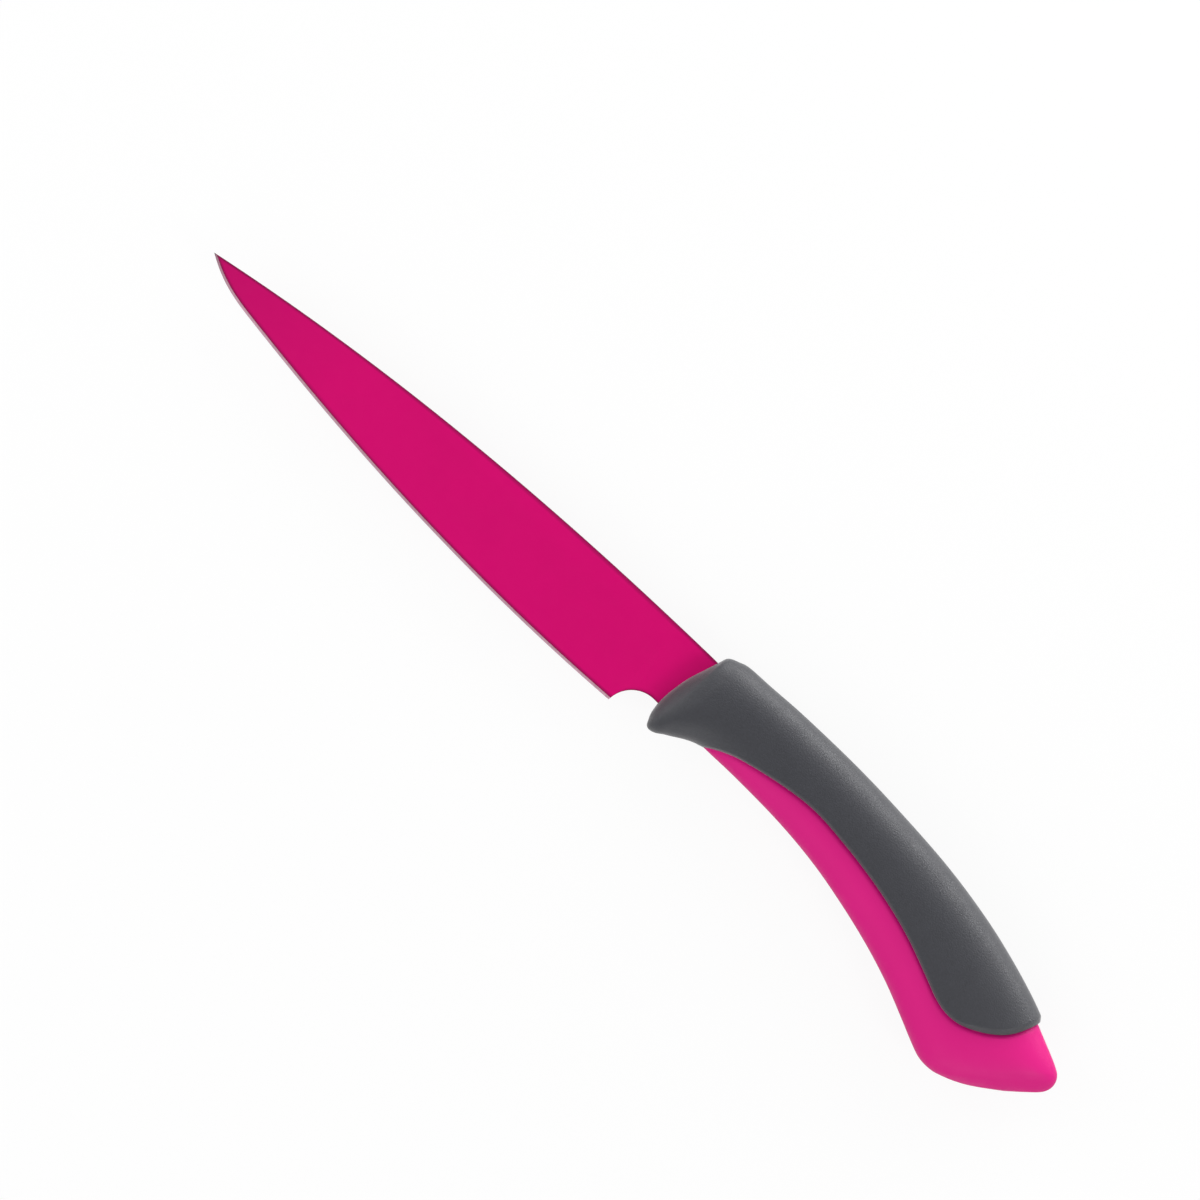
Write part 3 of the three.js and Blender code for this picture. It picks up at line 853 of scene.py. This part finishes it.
def grip_sheets(patch):
    """A patch of the grip's outside, with its bevelled lip, and the same patch of its inside."""
    number, angle = patch(grip_line)
    outside = skin(grip_ribs, number, angle)
    normal = outward(grip_ribs, number, angle)
    distance, nearest = nearest_on_edge(grip_edge_points, outside)
    under_number, under_angle = patch(core_edge)
    under_number = np.maximum(under_number - NOSE, -1)
    inside = core_surface(under_number, under_angle, distance)
    inside = inside + outward(moulded_ribs, under_number + 1, under_angle) * GRIP_CLEARANCE
    shrink = np.minimum(number / (NOSE - 1), 1)[..., None]
    inside = front_centre + (inside - front_centre) * shrink
    rear_share = ease((grip_places[nearest] - REAR_CORNER + REAR_BLEND) / REAR_BLEND)
    lip = LIP_WIDTH + (LIP_WIDTH_REAR - LIP_WIDTH) * rear_share
    step_down = ((outside - skin(moulded_ribs, under_number + 1, under_angle)) * normal).sum(-1)
    towards_edge = np.clip(1 - distance / lip, 0, 1)
    drop = np.where(towards_edge > 0, LIP_SHARE * step_down * towards_edge ** LIP_ROUNDING, 0)
    return outside - normal * drop[..., None], inside


def rim_of(collar_sheet, saddle_sheet):
    """The grip's edge as a line of points: from the belly round the collar, then the side and the rear."""
    corner = len(across) - 1
    return np.vstack([collar_sheet[-1, :corner - 1:-1], saddle_sheet[1:, -1], saddle_sheet[-1, -2::-1]])


def grip_material():
    """Soft-touch plastic: dark grey, matt, with a fine sandy grain."""
    grey = (0.0098, 0.0108, 0.0182, 1)
    grey_pale = (0.0148, 0.0162, 0.0252, 1)
    material, tree, shader = new_material(
        "soft_grip", specular_ior_level=0.76, sheen_weight=0.33, sheen_roughness=0.5
    )
    speckle = spread(tree, noise(tree, size=0.7 * mm, detail=4.0), low=0.0, high=1.0)
    roughness = spread(tree, noise(tree, size=4 * mm, detail=3.0), low=0.52, high=0.6)
    sand = bumped(tree, noise(tree, size=0.42 * mm, detail=3.0), depth=0.085 * mm)
    dress(tree, shader, blended(tree, speckle, grey, grey_pale), roughness, sand)
    return material


collar_out, collar_in = grip_sheets(collar)
saddle_out, saddle_in = grip_sheets(saddle)
rim_out = rim_of(collar_out, saddle_out)
rim_in = rim_of(collar_in, saddle_in)
lip_wall = np.stack([rim_out, (rim_out + rim_in) / 2, rim_in])
grip = closed_mesh(
    "grey_grip", [collar_out, saddle_out, lip_wall, collar_in, saddle_in], grip_material()
)
cut_out(grip, tang_space)
bpy.data.objects.remove(tang_space)
crisp_edges(grip.data, GRIP_CRISP_ANGLE)
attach(grip, "root")
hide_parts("grip")

# Studio
# A pale floor, a soft sky that is brightest near the horizon, and five soft lamps: two on the spine side,
# and one each towards the tip, the belly and the butt. The camera looks straight down, turned so that
# the knife lies aslant.

FLOOR_SIZE = 8.0                # in metres
CAMERA_LENS = 135.0             # lens and sensor in millimetres, as Blender has them
CAMERA_SENSOR = 36.0
CAMERA_TURN = math.pi / 4
PHOTO_WIDTH = 285.6 * mm        # what the frame takes in, at the blade
FRAME_CENTRE = Vector((-29.05 * mm, 6.45 * mm, 0))     # from the front of the grip, as the knife is drawn
LAMP_TARGET = Vector((50 * mm, 0, 10 * mm))            # on the handle
SKY_AT_HORIZON = 0.65
SKY_OVERHEAD = 0.37


def paper_material():
    """Paper that shows white, with a faint shadow, but throws back only as much light as a grey does."""
    paper_grey = (0.35, 0.35, 0.35, 1)
    paper_pale = (0.90, 0.90, 0.90, 1)
    white_share = 0.9
    material = bpy.data.materials.new("white_paper")
    material.use_nodes = True
    tree = material.node_tree
    tree.nodes.clear()
    rays = add_node(tree, "ShaderNodeLightPath").outputs
    seen = Amount(rays["Is Camera Ray"])
    for ray in ("Is Glossy Ray", "Is Transmission Ray"):
        seen = seen.most(Amount(rays[ray]))
    matt_colour = blended(tree, rays["Is Camera Ray"], paper_grey, paper_pale)
    matt = add_node(tree, "ShaderNodeBsdfDiffuse", {"Color": matt_colour})
    white = add_node(tree, "ShaderNodeEmission", {"Color": (1, 1, 1, 1), "Strength": 1.0})
    shown_values = {0: (seen * white_share).socket, 1: matt.outputs[0], 2: white.outputs[0]}
    shown = add_node(tree, "ShaderNodeMixShader", shown_values)
    add_node(tree, "ShaderNodeOutputMaterial", {"Surface": shown.outputs[0]})
    return material


floor_mesh = bpy.data.meshes.new("floor")
edge_of_floor = FLOOR_SIZE / 2
corners = [(x * edge_of_floor, y * edge_of_floor, 0) for x, y in ((-1, -1), (1, -1), (1, 1), (-1, 1))]
floor_mesh.from_pydata(corners, [], [(0, 1, 2, 3)])
floor_mesh.materials.append(paper_material())
floor = bpy.data.objects.new("floor", floor_mesh)
bpy.context.scene.collection.objects.link(floor)

world = bpy.data.worlds.new("studio")
bpy.context.scene.world = world
world.use_nodes = True
tree = world.node_tree
tree.nodes.clear()
direction = add_node(tree, "ShaderNodeTexCoord").outputs["Generated"]
rise = add_node(tree, "ShaderNodeSeparateXYZ", {0: direction}).outputs["Z"]
strength = spread(tree, rise, SKY_AT_HORIZON, SKY_OVERHEAD, start=0.0, end=1.0)
sky = add_node(tree, "ShaderNodeBackground", {"Color": (1, 1, 1, 1), "Strength": strength})
add_node(tree, "ShaderNodeOutputWorld", {"Surface": sky.outputs[0]})


def soft_lamp(name, azimuth, elevation, distance, size, power):
    """A soft box that faces the handle. Angles are in degrees, lengths in metres and power in watts."""
    lamp = bpy.data.lights.new(name, "AREA")
    lamp.shape = "RECTANGLE"
    lamp.size, lamp.size_y = size
    lamp.energy = power
    turn, rise = math.radians(azimuth), math.radians(elevation)
    away = Vector((math.cos(turn) * math.cos(rise), math.sin(turn) * math.cos(rise), math.sin(rise)))
    holder = bpy.data.objects.new(name, lamp)
    holder.location = LAMP_TARGET + away * distance
    holder.rotation_euler = away.to_track_quat("Z", "Y").to_euler()
    bpy.context.scene.collection.objects.link(holder)


soft_lamp("key_lamp", azimuth=95, elevation=20, distance=0.75, size=(0.95, 0.50), power=3.0)
soft_lamp("low_lamp", azimuth=92, elevation=4, distance=0.60, size=(0.90, 0.08), power=2.5)
soft_lamp("front_fill_lamp", azimuth=195, elevation=30, distance=0.80, size=(0.80, 0.60), power=2.6)
soft_lamp("rear_fill_lamp", azimuth=302, elevation=33, distance=0.80, size=(0.60, 0.50), power=1.55)
soft_lamp("butt_lamp", azimuth=0, elevation=40, distance=0.80, size=(0.22, 0.18), power=1.15)

camera = bpy.data.objects.new("camera", bpy.data.cameras.new("camera"))
camera.data.lens = CAMERA_LENS
camera.data.sensor_width = CAMERA_SENSOR
distance_up = PHOTO_WIDTH * CAMERA_LENS / CAMERA_SENSOR
camera.location = origin + FRAME_CENTRE + Vector((0, 0, distance_up))
camera.rotation_euler = (0, 0, CAMERA_TURN)
bpy.context.scene.collection.objects.link(camera)
bpy.context.scene.camera = camera
bpy.context.scene.view_settings.view_transform = "Standard"
